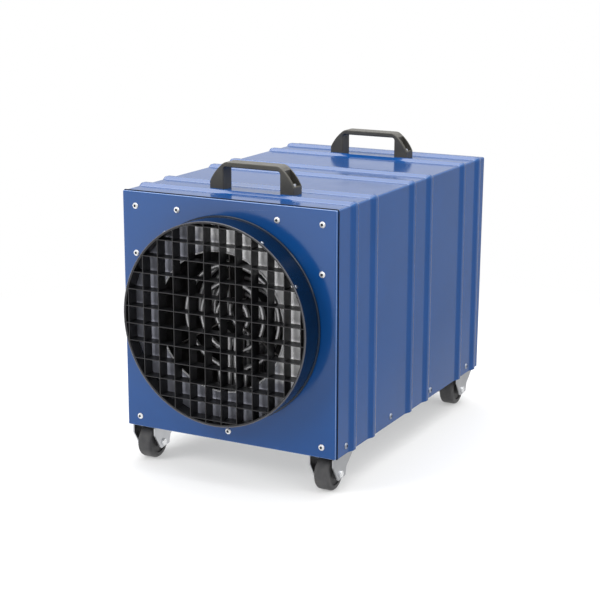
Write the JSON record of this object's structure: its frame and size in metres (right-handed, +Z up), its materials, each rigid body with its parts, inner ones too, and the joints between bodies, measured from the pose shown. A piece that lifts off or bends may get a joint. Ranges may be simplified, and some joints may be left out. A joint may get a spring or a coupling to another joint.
{
  "type": "forced air heater",
  "caption": "Electric forced air heater in a beaded sheet steel casing with a round hose collar, egg-crate grille, bridge handles and swivel castors.",
  "frame": {"origin": "on the floor, under the middle of the whole machine", "axes": "+Z up, the air leaves towards -Y, X across the casing, +X to the right seen from the front"},
  "size_m": [0.419, 0.692, 0.533],
  "materials": {
    "blue_paint": "gloss powder coat",
    "collar_paint": "gloss dark blue",
    "black_paint": "satin",
    "galvanised": "galvanised sheet",
    "zinc": "zinc plated",
    "rod_steel": "dark heat stained",
    "black_plastic": "fine grain",
    "grey_plastic": "satin",
    "rubber": "matt",
    "aluminium": "cast",
    "green_lens": "clear green",
    "amber_lens": "clear amber",
    "red_plastic": "gloss",
    "blue_plastic": "gloss",
    "brass": "bright"
  },
  "bodies": {
    "casing": {"outer_shell": "blue_paint", "front_panel": "blue_paint", "base_pan": "galvanised", "rear_frame": "galvanised", "rear_panel": "blue_paint", "intake_guard": "black_paint", "outlet_collar": "collar_paint", "outlet_grille": "black_paint", "baffle_ring": "galvanised", "collar_screws": "zinc", "front_panel_screws": "zinc", "side_screws": "zinc", "rear_panel_screws": "zinc", "front_handle": "black_plastic", "rear_handle": "black_plastic", "handle_screws": "zinc", "air_duct": "galvanised", "duct_cradle": "galvanised", "element_combs": "galvanised", "element_rail": "galvanised", "heating_element_front": "rod_steel", "heating_element_middle": "rod_steel", "heating_element_rear": "rod_steel", "fan_motor": "aluminium", "motor_mount": "galvanised", "mounting_rail": "galvanised", "contactor": "grey_plastic", "terminal_block": "grey_plastic", "overheat_switch": "black_plastic", "selector_switch": "black_plastic", "thermostat": "black_plastic", "limit_thermostat": "black_plastic", "power_lamp": "green_lens", "heat_lamp": "amber_lens", "mains_inlet": "blue_plastic", "inlet_pins": "brass", "castor_bolts": "zinc", "castor_plate_front_left": "zinc", "castor_plate_front_right": "zinc", "castor_plate_rear_left": "zinc", "castor_plate_rear_right": "zinc"},
    "fan": {"fan_rotor": "aluminium"},
    "selector": {"selector_knob": "black_plastic"},
    "thermostat_control": {"thermostat_knob": "black_plastic"},
    "reset": {"reset_button": "red_plastic"},
    "castor_front_left": {"castor_fork_front_left": "zinc", "castor_axle_front_left": "zinc"},
    "wheel_front_left": {"castor_wheel_front_left": "rubber"},
    "castor_front_right": {"castor_fork_front_right": "zinc", "castor_axle_front_right": "zinc"},
    "wheel_front_right": {"castor_wheel_front_right": "rubber"},
    "castor_rear_left": {"castor_fork_rear_left": "zinc", "castor_axle_rear_left": "zinc"},
    "wheel_rear_left": {"castor_wheel_rear_left": "rubber"},
    "castor_rear_right": {"castor_fork_rear_right": "zinc", "castor_axle_rear_right": "zinc"},
    "wheel_rear_right": {"castor_wheel_rear_right": "rubber"}
  },
  "joints": [
    {"name": "swivel_front_left", "type": "hinge", "parent": "casing", "child": "castor_front_left", "pos_m": [-0.1758, -0.249, 0.06], "axis": [0, 0, 1], "continuous": true},
    {"name": "roll_front_left", "type": "hinge", "parent": "castor_front_left", "child": "wheel_front_left", "pos_m": [-0.1758, -0.263, 0.03], "axis": [1, 0, 0], "continuous": true},
    {"name": "swivel_front_right", "type": "hinge", "parent": "casing", "child": "castor_front_right", "pos_m": [0.1758, -0.249, 0.06], "axis": [0, 0, 1], "continuous": true},
    {"name": "roll_front_right", "type": "hinge", "parent": "castor_front_right", "child": "wheel_front_right", "pos_m": [0.1758, -0.263, 0.03], "axis": [1, 0, 0], "continuous": true},
    {"name": "swivel_rear_left", "type": "hinge", "parent": "casing", "child": "castor_rear_left", "pos_m": [-0.1758, 0.293, 0.06], "axis": [0, 0, 1], "continuous": true},
    {"name": "roll_rear_left", "type": "hinge", "parent": "castor_rear_left", "child": "wheel_rear_left", "pos_m": [-0.1758, 0.279, 0.03], "axis": [1, 0, 0], "continuous": true},
    {"name": "swivel_rear_right", "type": "hinge", "parent": "casing", "child": "castor_rear_right", "pos_m": [0.1758, 0.293, 0.06], "axis": [0, 0, 1], "continuous": true},
    {"name": "roll_rear_right", "type": "hinge", "parent": "castor_rear_right", "child": "wheel_rear_right", "pos_m": [0.1758, 0.279, 0.03], "axis": [1, 0, 0], "continuous": true},
    {"name": "fan_spin", "type": "hinge", "parent": "casing", "child": "fan", "pos_m": [0, 0.156, 0.282], "axis": [0, 1, 0], "continuous": true},
    {"name": "selector_turn", "type": "hinge", "parent": "casing", "child": "selector", "pos_m": [0.15, 0.326, 0.43], "axis": [0, 1, 0], "range_deg": [0, 135]},
    {"name": "thermostat_turn", "type": "hinge", "parent": "casing", "child": "thermostat_control", "pos_m": [-0.15, 0.326, 0.43], "axis": [0, 1, 0], "range_deg": [-270, 0]},
    {"name": "reset_press", "type": "slide", "parent": "casing", "child": "reset", "axis": [0, -1, 0], "range_m": [0, 0.002], "stiffness_N_per_m": 600, "springref_m": -0.001}
  ]
}
